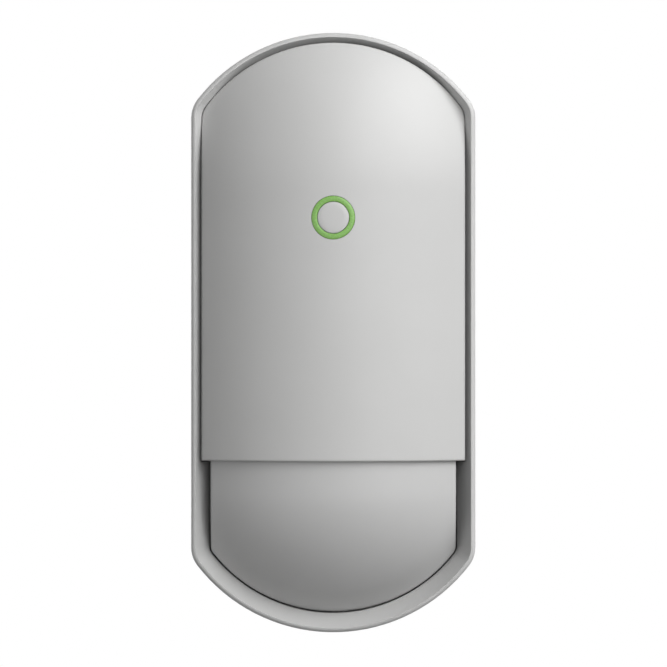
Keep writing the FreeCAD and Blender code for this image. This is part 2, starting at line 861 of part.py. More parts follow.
def terminal_clamps():
    """Metal cages that grip the wires, one in each entry."""
    made = []
    for x in terminal_xs():
        sink = terminal_entry_depth - clamp_wall
        cage = entry_box(x, clamp_wall, sink)
        made.append(cage.cut(entry_box(x, 0, sink)))
    return Part.makeCompound(made)


def terminal_screws():
    made = []
    for x in terminal_xs():
        front = terminal_front - terminal_screw_sink
        one = rod(terminal_screw_radius, front - terminal_screw_length, front, x, terminal_z)
        slot = block((x, terminal_z), (3 * terminal_screw_radius, terminal_screw_radius / 3, overcut),
                     front - terminal_screw_radius / 2)
        made.append(one.cut(slot))
    return Part.makeCompound(made)


def alarm_relay():
    body = block((relay_x, relay_z), relay_size, board_front)
    front_edges = [e for e in body.Edges if e.BoundBox.YMax < -board_front - relay_round]
    return body.makeFillet(relay_round, front_edges)


def control_chip():
    return block(chip_place, chip_size, board_front + chip_standoff)


def chip_leads():
    """Gull-wing leads down both long sides of the chip."""
    x, z = chip_place
    half = chip_size[0] / 2
    knee = board_front + chip_size[2] / 2
    made = []
    for i in range(chip_lead_count):
        lead_z = z + (i - (chip_lead_count - 1) / 2) * chip_lead_pitch
        z0 = lead_z - chip_lead_width / 2
        z1 = lead_z + chip_lead_width / 2
        for side in (-1, 1):
            near = x + side * half
            bend = near + side * chip_lead_reach / 2
            tip = near + side * chip_lead_reach
            arm = box(min(near, bend), max(near, bend), knee - chip_lead_thickness, knee, z0, z1)
            inner = bend - side * chip_lead_thickness
            down = box(min(bend, inner), max(bend, inner), board_front, knee, z0, z1)
            foot = box(min(inner, tip), max(inner, tip),
                       board_front, board_front + chip_lead_thickness, z0, z1)
            made.append(arm.multiFuse([down, foot]).removeSplitter())
    return Part.makeCompound(made)


def filter_capacitors():
    made = []
    for z in capacitor_zs:
        can = rod(capacitor_radius, board_front, board_front + capacitor_height, capacitor_x, z)
        rim = [e for e in can.Edges if e.BoundBox.YMax < -board_front - capacitor_height / 2]
        made.append(can.makeFillet(capacitor_round, rim))
    return Part.makeCompound(made)


def chip_resistors():
    made = []
    for i in range(resistor_count):
        made.append(block((resistor_x, resistor_top_z - i * resistor_pitch), resistor_size, board_front))
    return Part.makeCompound(made)


def chip_capacitors():
    made = []
    for i in range(ceramic_count):
        made.append(block((ceramic_left_x + i * ceramic_pitch, ceramic_z), ceramic_size, board_front))
    return Part.makeCompound(made)


def voltage_regulator():
    x, z = regulator_place
    body = block(regulator_place, regulator_size, board_front)
    tab_z = z + regulator_size[1] / 2 + tab_size[1] / 2
    return body.fuse(block((x, tab_z), tab_size, board_front)).removeSplitter()


def dip_slot_places():
    x, z = dip_place
    return [(x + (i - (dip_count - 1) / 2) * dip_pitch, z) for i in range(dip_count)]


def dip_housing():
    length = dip_count * dip_pitch + 2 * dip_end
    body = block(dip_place, (length, dip_width, dip_height), board_front)
    slots = []
    for place in dip_slot_places():
        slots.append(block(place, (dip_slot_width, dip_slot_length, dip_slot_depth + overcut),
                           dip_front - dip_slot_depth))
    return body.cut(slots)


def dip_slider(place):
    """Slider at the lower end of its slot, with clearance all round."""
    x, z = place
    low = z - dip_slot_length / 2 + dip_gap
    half = dip_slot_width / 2 - dip_gap
    return box(x - half, x + half, dip_front - dip_slot_depth + dip_gap, dip_front + dip_slider_proud,
               low, low + dip_slider_length)


def trimmer_housing():
    body = block(trimmer_place, (trimmer_side, trimmer_side, trimmer_height), board_front)
    x, z = trimmer_place
    return body.cut(rod(rotor_radius + rotor_gap, trimmer_front - rotor_sink, trimmer_front + overcut, x, z))


def trimmer_rotor():
    x, z = trimmer_place
    back = trimmer_front - rotor_sink + rotor_gap
    disc = rod(rotor_radius, back, back + rotor_height, x, z)
    depth = back + rotor_height - rotor_slot_depth
    long_way = 2 * rotor_radius - rotor_slot
    bars = [block((x, z), (long_way, rotor_slot, rotor_slot_depth + overcut), depth),
            block((x, z), (rotor_slot, long_way, rotor_slot_depth + overcut), depth)]
    return disc.cut(bars)


def tamper_housing():
    x, z = tamper_place
    body = block(tamper_place, (tamper_side, tamper_side, tamper_height), board_front)
    front = board_front + tamper_height
    return body.cut(rod(plunger_radius + plunger_gap, front - plunger_well, front + overcut, x, z))


def tamper_plunger():
    x, z = tamper_place
    back = board_front + tamper_height - plunger_well + plunger_bottom_gap
    return rod(plunger_radius, back, plunger_tip, x, z)


def walk_test_lamp():
    flange = rod(lamp_flange_radius, board_front, board_front + lamp_flange_height, 0, ring_z)
    shoulder = lamp_top - lamp_radius
    body = rod(lamp_radius, board_front, shoulder, 0, ring_z)
    dome = Part.makeSphere(lamp_radius, at(0, shoulder, ring_z))
    return body.multiFuse([flange, dome]).removeSplitter()


nodes = {
    "rear_housing": rear_housing(),
    "hinge_pin": hinge_pin(),
    "cover_screw": cover_screw(),
    "front_frame": front_frame(),
    "front_panel": front_panel(),
    "light_ring": light_ring(),
    "ring_insert": ring_insert(),
    "lens_window": lens_window(),
    "window_seal": window_seal(),
    "fresnel_lens": fresnel_lens(),
    "lens_retainer": lens_retainer(),
    "retainer_screws": retainer_screws(),
    "circuit_board": circuit_board(),
    "board_screws": board_screws(),
    "sensor_can": sensor_can(),
    "sensor_filter": sensor_filter(),
    "sensor_leads": sensor_leads(),
    "sensor_shroud": sensor_shroud(),
    "terminal_block": terminal_block(),
    "terminal_clamps": terminal_clamps(),
    "terminal_screws": terminal_screws(),
    "alarm_relay": alarm_relay(),
    "control_chip": control_chip(),
    "chip_leads": chip_leads(),
    "filter_capacitors": filter_capacitors(),
    "chip_resistors": chip_resistors(),
    "chip_capacitors": chip_capacitors(),
    "voltage_regulator": voltage_regulator(),
    "dip_housing": dip_housing(),
    "trimmer_housing": trimmer_housing(),
    "trimmer_rotor": trimmer_rotor(),
    "tamper_housing": tamper_housing(),
    "tamper_plunger": tamper_plunger(),
    "walk_test_lamp": walk_test_lamp(),
}
for number, slot_place in enumerate(dip_slot_places(), 1):
    nodes["dip_slider_%d" % number] = dip_slider(slot_place)

os.makedirs("parts", exist_ok=True)
for name, shape in nodes.items():
    shape.exportStep("parts/%s.step" % name)
    print(name, len(shape.Solids), shape.isValid(), round(shape.Volume, 2))
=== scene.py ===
import json
import math
import bmesh
import bpy
from mathutils import Matrix, Vector


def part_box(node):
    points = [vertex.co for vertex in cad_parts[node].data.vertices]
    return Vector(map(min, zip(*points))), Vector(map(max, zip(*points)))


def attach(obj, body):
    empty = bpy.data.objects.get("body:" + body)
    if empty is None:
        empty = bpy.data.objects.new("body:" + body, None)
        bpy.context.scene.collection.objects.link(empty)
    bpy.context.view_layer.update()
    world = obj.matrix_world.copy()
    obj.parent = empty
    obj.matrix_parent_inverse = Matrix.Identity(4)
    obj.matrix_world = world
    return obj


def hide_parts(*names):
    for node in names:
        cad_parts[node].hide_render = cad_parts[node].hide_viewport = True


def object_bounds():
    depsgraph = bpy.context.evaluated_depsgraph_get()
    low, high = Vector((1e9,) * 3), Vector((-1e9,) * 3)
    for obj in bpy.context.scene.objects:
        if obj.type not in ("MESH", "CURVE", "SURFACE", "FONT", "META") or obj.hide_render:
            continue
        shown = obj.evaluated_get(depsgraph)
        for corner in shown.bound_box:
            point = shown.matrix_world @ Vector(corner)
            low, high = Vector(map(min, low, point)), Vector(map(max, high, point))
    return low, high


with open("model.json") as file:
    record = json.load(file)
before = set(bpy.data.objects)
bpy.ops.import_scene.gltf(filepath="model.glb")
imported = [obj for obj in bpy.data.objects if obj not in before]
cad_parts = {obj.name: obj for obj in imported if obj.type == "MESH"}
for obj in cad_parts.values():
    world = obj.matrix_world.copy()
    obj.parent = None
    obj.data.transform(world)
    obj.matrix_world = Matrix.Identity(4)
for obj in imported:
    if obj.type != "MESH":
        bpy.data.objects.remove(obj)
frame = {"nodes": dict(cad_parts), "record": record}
cad_low, cad_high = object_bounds()
nodes = frame["nodes"]

mm = 0.001

# The photograph's view: its side and the object's middle in pixels, and its scale
picture_side = 667
object_pixel = (333.25, 332.55)
pixels_per_metre = 4743.0
lens_mm = 240.0
sensor_mm = 36.0
clip_near, clip_far = 0.01, 20.0

# World: its strength as light on the object, and where it is seen
world_fill = 0.06
backdrop_white = 1.0

# Floor, in metres. It shows its tone and glow where it is seen, and throws its bounce on the
# object. From fade_start to its edge it melts into the backdrop
floor_drop = 45 * mm
floor_radius = 0.45
floor_segments = 96
floor_tone = 0.80
floor_bounce = 0.15
floor_glow = 0.40
fade_start = 0.16

# Softboxes: azimuth and elevation in degrees, side in metres, power in watts.
# Azimuth 0 is in front of the object, 90 at its right
lamp_distance = 0.9
lamps = {
    "key_light": (32, 25, 0.80, 4.2),
    "high_light": (36, 42, 0.80, 1.55),
    "high_right_light": (50, 45, 0.60, 1.25),
    "right_light": (60, 30, 0.60, 3.2),
    "front_light": (12, 2, 0.60, 0.95),
    "left_light": (-25, 2, 0.60, 0.75),
    "back_left_light": (-130, 10, 0.60, 2.6),
    "back_light": (170, 10, 0.60, 2.6),
}


# Nodes

def wired(tree, kind, inputs, **settings):
    """New node with its settings, and with its inputs joined to outputs or set to values."""
    node = tree.nodes.new(kind)
    for setting, value in settings.items():
        setattr(node, setting, value)
    for name, value in inputs.items():
        if isinstance(value, bpy.types.NodeSocket):
            tree.links.new(value, node.inputs[name])
        else:
            node.inputs[name].default_value = value
    return node


def ranged(tree, value, low, high, start=0.0, end=1.0):
    """The value between start and end, as a number from low to high."""
    inputs = {"Value": value, "From Min": start, "From Max": end, "To Min": low, "To Max": high}
    return wired(tree, "ShaderNodeMapRange", inputs).outputs["Result"]


def computed(tree, operation, first, second, clamped=False):
    settings = {"operation": operation, "use_clamp": clamped}
    return wired(tree, "ShaderNodeMath", {0: first, 1: second}, **settings).outputs["Value"]


# Materials: every one reads object coordinates, so its pattern lies on the piece

# Plastic: how many blots its slow cloud and its fine grain have along a metre, the least and most
# that its roughness changes, and its bump's strength
cloud_grain = 70.0
plastic_grain = 2600.0
plastic_gloss = (-0.06, 0.08)
plastic_bump = 0.35

# Metal: the same for its marks, then the share that they darken it and their depth in millimetres
metal_grain = 900.0
metal_gloss = (-0.08, 0.14)
metal_bump = 0.25
metal_change = 0.08
metal_depth = 0.006

# The part of a noise's range over which tone and roughness change
noise_core = (0.3, 0.7)
mark_core = (0.35, 0.65)

# Painted shade in the gap round panel and window: the depths in millimetres behind which their
# sides turn dark, and how far a face's normal may point to the front
gap_shade_depths = (34.9, 34.5)
side_turn = (0.35, 0.15)


class Finish:
    """One material, with its shader and helpers that join nodes."""

    def __init__(self, name, roughness, metallic):
        self.material = bpy.data.materials.new(name)
        self.material.use_nodes = True
        self.tree = self.material.node_tree
        self.shader = self.tree.nodes["Principled BSDF"]
        self.shader.inputs["Roughness"].default_value = roughness
        self.shader.inputs["Metallic"].default_value = metallic
        self.coordinates = self.tree.nodes.new("ShaderNodeTexCoord")

    def noise(self, per_metre, detail, stretch=(1, 1, 1), roughness=0.5):
        """Noise value; per_metre is how many blots lie along a metre."""
        place = self.coordinates.outputs["Object"]
        mapping = wired(self.tree, "ShaderNodeMapping", {"Vector": place, "Scale": stretch})
        inputs = {"Vector": mapping.outputs["Vector"], "Scale": per_metre, "Detail": detail,
                  "Roughness": roughness}
        return wired(self.tree, "ShaderNodeTexNoise", inputs).outputs["Fac"]

    def blend(self, factor, first, second):
        """First colour where factor is 0, second where it is 1."""
        inputs = {"Factor": factor}
        for name, colour in (("A", first), ("B", second)):
            inputs[name] = (*colour, 1.0) if isinstance(colour, tuple) else colour
        return wired(self.tree, "ShaderNodeMix", inputs, data_type="RGBA").outputs["Result"]

    def outward(self, coordinate):
        """How far a coordinate lies, or a normal points, away from the wall."""
        vector = self.coordinates.outputs[coordinate]
        parts = wired(self.tree, "ShaderNodeSeparateXYZ", {"Vector": vector})
        return ranged(self.tree, parts.outputs["Y"], 0, 1, 0, -1)

    def gap_shade_mask(self):
        """Painted shade: 1 on faces behind the shade's depths that look sideways or to the wall, 0
        elsewhere.
        """
        deep = ranged(self.tree, self.outward("Object"), 0, 1, *(end * mm for end in gap_shade_depths))
        sideways = ranged(self.tree, self.outward("Normal"), 0, 1, *side_turn)
        return computed(self.tree, "MULTIPLY", deep, sideways)

    def covered(self, tone, roughness, height, strength, depth):
        """The material, with its tone, roughness and a bump of a depth in millimetres joined."""
        inputs = {"Strength": strength, "Distance": depth * mm, "Height": height}
        bump = wired(self.tree, "ShaderNodeBump", inputs)
        joined = {"Base Color": tone, "Roughness": roughness, "Normal": bump.outputs["Normal"]}
        for name, value in joined.items():
            self.tree.links.new(value, self.shader.inputs[name])
        return self.material


def shade(colour, factor):
    return tuple(channel * factor for channel in colour)


def moulded(name, colour, roughness, change, grain=plastic_grain, depth=0.012, gap_shade=None):
    """Moulded plastic: a fine eroded grain, slow changes of tone and of gloss.

    change is the share by which the tone changes, grain how many blots lie along a metre, depth the
    grain's depth in millimetres. gap_shade is the dark colour painted as shade on the sides deep in
    the gap round the cover.
    """
    made = Finish(name, roughness, 0.0)
    cloud = ranged(made.tree, made.noise(cloud_grain, 2.0), 0, 1, *noise_core)
    tone = made.blend(cloud, shade(colour, 1 - change), shade(colour, 1 + change))
    # Painted shade: sides deep in the gap round the cover turn dark
    if gap_shade:
        tone = made.blend(made.gap_shade_mask(), tone, gap_shade)
    texture = made.noise(grain, 4.0)
    smooth, rough = (roughness + step for step in plastic_gloss)
    gloss = ranged(made.tree, texture, smooth, rough, *noise_core)
    return made.covered(tone, gloss, texture, plastic_bump, depth)


def metal(name, colour, roughness=0.28, stretch=(1, 1, 1)):
    """Plated or drawn metal with fine marks, drawn out along one way where it is stretched."""
    made = Finish(name, roughness, 1.0)
    marks = made.noise(metal_grain, 5.0, stretch, 0.65)
    dark = shade(colour, 1 - metal_change)
    tone = made.blend(ranged(made.tree, marks, 0, 1, *mark_core), dark, colour)
    smooth, rough = (roughness + step for step in metal_gloss)
    gloss = ranged(made.tree, marks, smooth, rough, *noise_core)
    return made.covered(tone, gloss, marks, metal_bump, metal_depth)


# Colours, linear
silver = (0.520, 0.520, 0.515)
window_silver = (0.500, 0.500, 0.497)
housing_grey = (0.500, 0.500, 0.492)
guide_green = (0.183, 0.398, 0.079)
# Painted shade: the dark colour that the sides of panel and window take deep in the gap
gap_shade_colour = (0.030, 0.030, 0.031)

# By slot: name, colour, roughness and change of tone; then grain, its depth and the colour of the
# painted gap shade
plastics = {
    "panel_plastic": ("satin_silver_panel", silver, 0.40, 0.012, 3200.0, 0.004, gap_shade_colour),
    "frame_plastic": ("satin_silver_frame", silver, 0.42, 0.012, 3200.0, 0.005),
    "window_plastic": ("satin_silver_window", window_silver, 0.40, 0.012, 3200.0, 0.004,
                       gap_shade_colour),
    "housing_plastic": ("housing_grey", housing_grey, 0.55, 0.02, 2200.0),
    "green_light_guide": ("green_light_guide", guide_green, 0.25, 0.04, plastic_grain, 0.002),
    "lens_plastic": ("milky_lens_sheet", (0.80, 0.80, 0.78), 0.35, 0.02, plastic_grain, 0.002),
    "seal_rubber": ("seal_rubber", (0.028, 0.028, 0.028), 0.75, 0.2),
    "retainer_plastic": ("retainer_black", (0.035, 0.035, 0.036), 0.55, 0.12),
    "board_laminate": ("green_board_mask", (0.012, 0.130, 0.045), 0.30, 0.15, 1500.0),
    "filter_glass": ("dark_filter", (0.012, 0.010, 0.012), 0.08, 0.1, plastic_grain, 0.0005),
    "black_plastic": ("black_plastic", (0.020, 0.020, 0.021), 0.48, 0.15),
    "terminal_plastic": ("terminal_green", (0.030, 0.170, 0.065), 0.45, 0.08),
    "relay_plastic": ("relay_black", (0.024, 0.024, 0.027), 0.38, 0.12),
    "chip_plastic": ("chip_black", (0.018, 0.018, 0.019), 0.55, 0.2),
    "chip_ceramic": ("chip_ceramic", (0.36, 0.25, 0.15), 0.50, 0.15),
    "switch_plastic": ("switch_red", (0.36, 0.022, 0.016), 0.42, 0.08),
    "trimmer_plastic": ("trimmer_blue", (0.020, 0.075, 0.330), 0.42, 0.08),
    "rotor_plastic": ("rotor_white", (0.74, 0.74, 0.72), 0.45, 0.03),
    "plunger_plastic": ("plunger_white", (0.70, 0.70, 0.67), 0.45, 0.03),
    "lamp_resin": ("lamp_resin", (0.22, 0.48, 0.12), 0.12, 0.05, plastic_grain, 0.001),
    "slider_plastic": ("slider_white", (0.78, 0.78, 0.76), 0.42, 0.03),
}
# By slot: name and colour; then roughness and stretch
metals = {
    "zinc_steel": ("zinc_plated_steel", (0.62, 0.62, 0.60)),
    "pin_steel": ("drawn_pin_steel", (0.55, 0.55, 0.55), 0.28, (0.05, 1, 1)),
    "can_metal": ("nickel_can", (0.68, 0.65, 0.58), 0.20),
    "lead_wire": ("tinned_lead", (0.66, 0.66, 0.64), 0.32),
    "clamp_metal": ("nickel_clamp", (0.63, 0.62, 0.58)),
    "capacitor_metal": ("capacitor_aluminium", (0.74, 0.74, 0.75), 0.33),
}
finishes = {slot: moulded(*values) for slot, values in plastics.items()}
finishes.update({slot: metal(*values) for slot, values in metals.items()})
track_green = moulded("green_board_track", (0.020, 0.190, 0.070), 0.30, 0.10, 1500.0)
print_white = moulded("white_board_print", (0.72, 0.72, 0.69), 0.55, 0.05)
chip_mark_grey = moulded("chip_dimple_grey", (0.060, 0.060, 0.062), 0.40, 0.1)


def dress_nodes():
    """Every carried-over node takes the finish of its own slot in the record."""
    for part in frame["record"]["subparts"]:
        mesh = nodes[part["node"]].data
        mesh.materials.clear()
        mesh.materials.append(finishes[part["material_slot"]])


# Pieces: every size below is in millimetres, and a place is (x, depth from the wall, z)

# Points nearer than this are one point
same_point = 0.0002


def spot(x, depth, z):
    return Vector((x * mm, -depth * mm, z * mm))


def new_object(name, data):
    made = bpy.data.objects.new(name, data)
    bpy.context.scene.collection.objects.link(made)
    return made


def finish_piece(name, shape, body, slot, replaced=(), smooth_angle=35.0):
    """Object from the shape: outward normals, smooth but for sharp edges, its slot's finish."""
    loose = [v for v in shape.verts if not v.link_faces]
    bmesh.ops.delete(shape, geom=loose, context="VERTS")
    bmesh.ops.recalc_face_normals(shape, faces=shape.faces)
    sharp = math.radians(smooth_angle)
    for face in shape.faces:
        face.smooth = True
    for edge in shape.edges:
        edge.smooth = not (edge.is_manifold and edge.calc_face_angle() > sharp)
    mesh = bpy.data.meshes.new(name)
    shape.to_mesh(mesh)
    shape.free()
    piece = new_object(name, mesh)
    mesh.materials.append(finishes[slot])
    weigh = piece.modifiers.new("even_normals", "WEIGHTED_NORMAL")
    weigh.keep_sharp = True
    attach(piece, body)
    if replaced:
        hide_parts(*replaced)
    return piece


def join_loops(shape, first, second):
    """Closed band of faces between two loops with as many points."""
    count = len(first)
    for k in range(count):
        after = (k + 1) % count
        shape.faces.new((first[k], first[after], second[after], second[k]))


def add_grid(shape, grid, skip=()):
    """Faces between neighbours in a grid of points by column, except the (column, row) in skip."""
    for i in range(len(grid) - 1):
        for j in range(len(grid[0]) - 1):
            if (i, j) not in skip:
                shape.faces.new((grid[i][j], grid[i + 1][j], grid[i + 1][j + 1], grid[i][j + 1]))


def grid_edge(grid):
    """Boundary of a grid, once round."""
    feet, heads = [column[0] for column in grid], [column[-1] for column in grid]
    return feet + grid[-1][1:-1] + heads[::-1] + grid[0][-2:0:-1]


def extrude(shape, faces, way):
    """Solid from flat faces, drawn out along way."""
    made = bmesh.ops.extrude_face_region(shape, geom=faces)["geom"]
    moved = [g for g in made if isinstance(g, bmesh.types.BMVert)]
    bmesh.ops.translate(shape, verts=moved, vec=way)


def thicken(shape, height, faces=None):
    """Plates from the flat faces, or from all so far, that stand up from the board by height."""
    extrude(shape, faces or list(shape.faces), (0, -height * mm, 0))


def round_edges(shape, edges, offset):
    bmesh.ops.bevel(shape, geom=edges, offset=offset * mm, segments=2, profile=0.5, affect="EDGES",
                    material=-1)


def soft_block(shape, x, z, depth, size, soft):
    """Block of size (x, z, depth) that stands on a face at one depth, its edges rounded."""
    across, high, deep = size
    made = bmesh.ops.create_cube(shape, size=mm)["verts"]
    bmesh.ops.scale(shape, verts=made, vec=(across, deep, high))
    bmesh.ops.translate(shape, verts=made, vec=spot(x, depth + deep / 2, z))
    round_edges(shape, list({e for v in made for e in v.link_edges}), soft)


def disc(shape, x, z, radius, depth, segments):
    """Flat disc round (x, z) at one depth."""
    made = bmesh.ops.create_circle(shape, cap_ends=True, segments=segments, radius=radius * mm,
                                   matrix=Matrix.Rotation(math.pi / 2, 4, "X"))
    bmesh.ops.translate(shape, verts=made["verts"], vec=spot(x, depth, z))


def turned(shape, x, z, profile, segments):
    """Profile of (radius, depth) turned round an axis that looks to the front at (x, z).

    It is closed where the profile starts and ends on the axis or at one point.
    """
    older = set(shape.verts)
    verts = [shape.verts.new(spot(x + radius, depth, z)) for radius, depth in profile]
    edges = [shape.edges.new(pair) for pair in zip(verts, verts[1:])]
    bmesh.ops.spin(shape, geom=verts + edges, cent=spot(x, 0, z), axis=(0, 1, 0),
                   angle=math.tau, steps=segments, use_merge=True)
    made = [v for v in shape.verts if v not in older]
    bmesh.ops.remove_doubles(shape, verts=made, dist=same_point * mm)


def ribbon(shape, points, width, depth, closed=False):
    """Flat line of one width through points (x, z), its corners mitred. Gives its faces."""
    sharpest = 0.4
    count = len(points)
    sides = []
    for k, here in enumerate(points):
        here = Vector(here)
        before = Vector(points[k - 1]) if k or closed else None
        after = Vector(points[(k + 1) % count]) if k < count - 1 or closed else None
        way_in = (here - before).normalized() if before else (after - here).normalized()
        way_out = (after - here).normalized() if after else way_in
        middle = (way_in + way_out).normalized()
        across = Vector((-middle.y, middle.x)) * width / 2 / max(sharpest, middle.dot(way_in))
        ends = (here + across, here - across)
        sides.append([shape.verts.new(spot(end.x, depth, end.y)) for end in ends])
    following = sides[1:] + sides[:1] if closed else sides[1:]
    return [shape.faces.new((a[0], a[1], b[1], b[0])) for a, b in zip(sides, following)]


def on_circle(x, z, radius, angle):
    return x + radius * math.cos(angle), z + radius * math.sin(angle)


# Cover, with the sizes of the solids
body_half = 30.0
end_radius = 36.25
end_centre = 27.0
corner_radius = 6.3
least_corner = 0.8
corner_steps = 8
rim_steps = 4
deck_depth = 28.4
ring_place = 24.0
ring_hole = 4.6
# The hole lies in a square of the grid, patch_half to each side, with a column every millimetre.
# Rings of faces lead from the square to the hole; first_corner is the angle of its first corner
patch_half = 8
patch_rings = 7
first_corner = math.radians(-135)


class Bulge:
    """Face arched across that bends back beyond one height; end is 1 at the top, -1 at the foot."""

    def __init__(self, depth, arc, bend_z, bend_radius, end):
        self.depth, self.arc, self.end = depth, arc, end
        self.bend_z, self.bend_radius = bend_z, bend_radius

    def inside(self, wall):
        bend_radius = self.bend_radius - wall
        return Bulge(self.depth - wall, self.arc - wall, self.bend_z, bend_radius, self.end)

    def at(self, x, z):
        """Depth of the face; z is counted towards its end."""
        sag = self.arc - math.sqrt(self.arc ** 2 - x ** 2)
        beyond = max(0.0, z - self.bend_z)
        reach = math.sqrt((self.bend_radius - sag) ** 2 - beyond ** 2)
        return self.depth - self.bend_radius + reach


panel_bulge = Bulge(45.0, 44.0, 30.0, 60.0, 1)
window_bulge = Bulge(43.75, 42.75, 33.0, 31.0, -1)


def end_row(inset, across):
    """Outline's end as (x, z), left to right; across gives the places on its arc from -1 to 1."""
    half = body_half - inset
    radius = end_radius - inset
    corner = max(corner_radius - inset, least_corner)
    reach_x = half - corner
    reach_z = math.sqrt((radius - corner) ** 2 - reach_x ** 2)
    turn = math.atan2(reach_z, reach_x)
    side = [on_circle(reach_x, end_centre + reach_z, corner, turn * k / corner_steps)
            for k in range(corner_steps)]
    join = radius * math.cos(turn)
    arc_xs = [join * share for share in across]
    middle = [(x, end_centre + math.sqrt(radius ** 2 - x ** 2)) for x in arc_xs]
    return [(-x, z) for x, z in side] + middle + side[::-1]


def steps(start, end, count):
    """Even steps from start towards end, which isn't among them."""
    return [start + (end - start) * k / count for k in range(count)]


class Face:
    """Grid of points over a bulge inside the outline, from a straight foot to the rounded end.

    across gives the columns as places on the end's arc, rows the heights above the foot, end_rows
    how many rows follow up to the end, and hole the columns and rows of the square that it takes.
    """

    def __init__(self, shape, bulge, inset, foot, across, rows, end_rows, hole=None):
        self.shape, self.bulge, self.end = shape, bulge, bulge.end
        self.inset, self.foot, self.across = inset, foot, across
        heights = [foot] + rows
        last = heights[-1]
        grid = []
        for x, high in end_row(inset, across):
            column = heights + [last + (high - last) * k / end_rows for k in range(1, end_rows + 1)]
            grid.append([self.vert(x, bulge.at(x, z), z) for z in column])
        self.grid = grid
        add_grid(shape, grid, self.open_hole(*hole) if hole else ())

    def vert(self, x, depth, z):
        return self.shape.verts.new(spot(x, depth, z * self.end))

    def open_hole(self, i0, i1, j0, j1):
        """Round hole in a square of the grid, joined by rings. Gives the grid's faces it takes."""
        grid = self.grid
        square = [grid[i][j0] for i in range(i0, i1)] + [grid[i1][j] for j in range(j0, j1)]
        square += [grid[i][j1] for i in range(i1, i0, -1)]
        square += [grid[i0][j] for j in range(j1, j0, -1)]
        count = len(square)
        ring = square
        for k in range(1, patch_rings + 1):
            share = k / patch_rings
            inner = []
            for n, corner in enumerate(square):
                angle = first_corner + math.tau * n / count
                circle_x, circle_z = on_circle(0, ring_place, ring_hole, angle)
                x = corner.co.x / mm * (1 - share) + circle_x * share
                z = corner.co.z / mm * (1 - share) + circle_z * share
                inner.append(self.vert(x, self.bulge.at(x, z), z))
            join_loops(self.shape, ring, inner)
            ring = inner
        self.circle = ring
        return {(i, j) for i in range(i0, i1) for j in range(j0, j1)}

    def edge(self):
        return grid_edge(self.grid)

    def loop(self, inset, foot, depth=None, drop=0.0):
        """Loop like the boundary with another inset and foot, at one depth or below the bulge."""
        top = end_row(inset, self.across)
        half = body_half - inset
        middle = [v.co.z / mm * self.end for v in self.grid[0][1:-1]]
        places = [(x, foot) for x, high in top] + [(half, z) for z in middle]
        places += top[::-1] + [(-half, z) for z in middle[::-1]]
        if depth is None:
            return [self.vert(x, self.bulge.at(x, z) - drop, z) for x, z in places]
        return [self.vert(x, depth, z) for x, z in places]


def rounded_rim(face, radius, back):
    """Loops from the face's boundary round its edge and straight back, the last at depth back."""
    inset, foot = face.inset - radius, face.foot - radius
    loops = [face.edge()]
    for k in reversed(range(rim_steps)):
        angle = math.pi / 2 * k / rim_steps
        step = radius * (1 - math.cos(angle))
        loops.append(face.loop(inset + step, foot + step, drop=radius * (1 - math.sin(angle))))
    loops.append(face.loop(inset, foot, depth=back))
    for first, second in zip(loops, loops[1:]):
        join_loops(face.shape, first, second)
    return loops[-1]


def hook(shape, x, thickness, barb, depths, z0, z1):
    """Clip with a barb towards the side: an outline across x and depth, drawn up along z."""
    foot, shoulder, front = depths
    lead_share = 0.6
    way = 1 if x > 0 else -1
    lead = barb * lead_share
    outer = thickness + barb
    outline = [(0, front), (thickness, front), (thickness, shoulder), (outer, shoulder),
               (outer, shoulder - lead / 2), (outer - lead, foot), (0, foot)]
    low = [shape.verts.new(spot(x + way * across, depth, z0)) for across, depth in outline]
    extrude(shape, [shape.faces.new(low)], (0, 0, (z1 - z0) * mm))


def make_front_panel():
    """Panel's shell with the round hole for the light guide, and the clips behind it."""
    round_edge = 0.4
    wall = 1.1
    inset, foot = 2.2, -27.0
    side_columns, low_rows, patch_rows, end_rows = 12, 36, 16, 24
    reach = end_row(inset + round_edge, [1.0])[-1 - corner_steps][0]
    half = [k / reach for k in range(1, patch_half + 1)]
    half += steps(patch_half / reach, 1.0, side_columns)[1:] + [1.0]
    across = [-share for share in reversed(half)] + [0.0] + half
    low = foot + round_edge
    patch_low, patch_high = ring_place - patch_half, ring_place + patch_half
    rows = steps(low, patch_low, low_rows)[1:] + steps(patch_low, patch_high, patch_rows)
    rows.append(patch_high)
    i0 = corner_steps + len(half) - patch_half
    j0 = rows.index(patch_low) + 1
    hole = (i0, i0 + 2 * patch_half, j0, j0 + patch_rows)
    shape = bmesh.new()
    outer = Face(shape, panel_bulge, inset + round_edge, low, across, rows, end_rows, hole)
    back = rounded_rim(outer, round_edge, deck_depth)
    inner = Face(shape, panel_bulge.inside(wall), inset + wall, foot + wall, across, rows,
                 end_rows, hole)
    lip = inner.loop(inset + wall, foot + wall, depth=deck_depth)
    for first, second in ((back, lip), (lip, inner.edge()), (outer.circle, inner.circle)):
        join_loops(shape, first, second)
    clip_x, clip_half, thickness, barb = 20.2, 2.5, 1.4, 0.8
    clip_foot, clip_shoulder = 24.8, 26.3
    for z in (-8.0, 43.0):
        front = inner.bulge.at(clip_x + thickness, z + clip_half) + wall / 2
        for side in (-1, 1):
            hook(shape, side * clip_x, thickness, barb, (clip_foot, clip_shoulder, front),
                 z - clip_half, z + clip_half)
    finish_piece("panel_shell", shape, "cover", "panel_plastic", ["front_panel"])


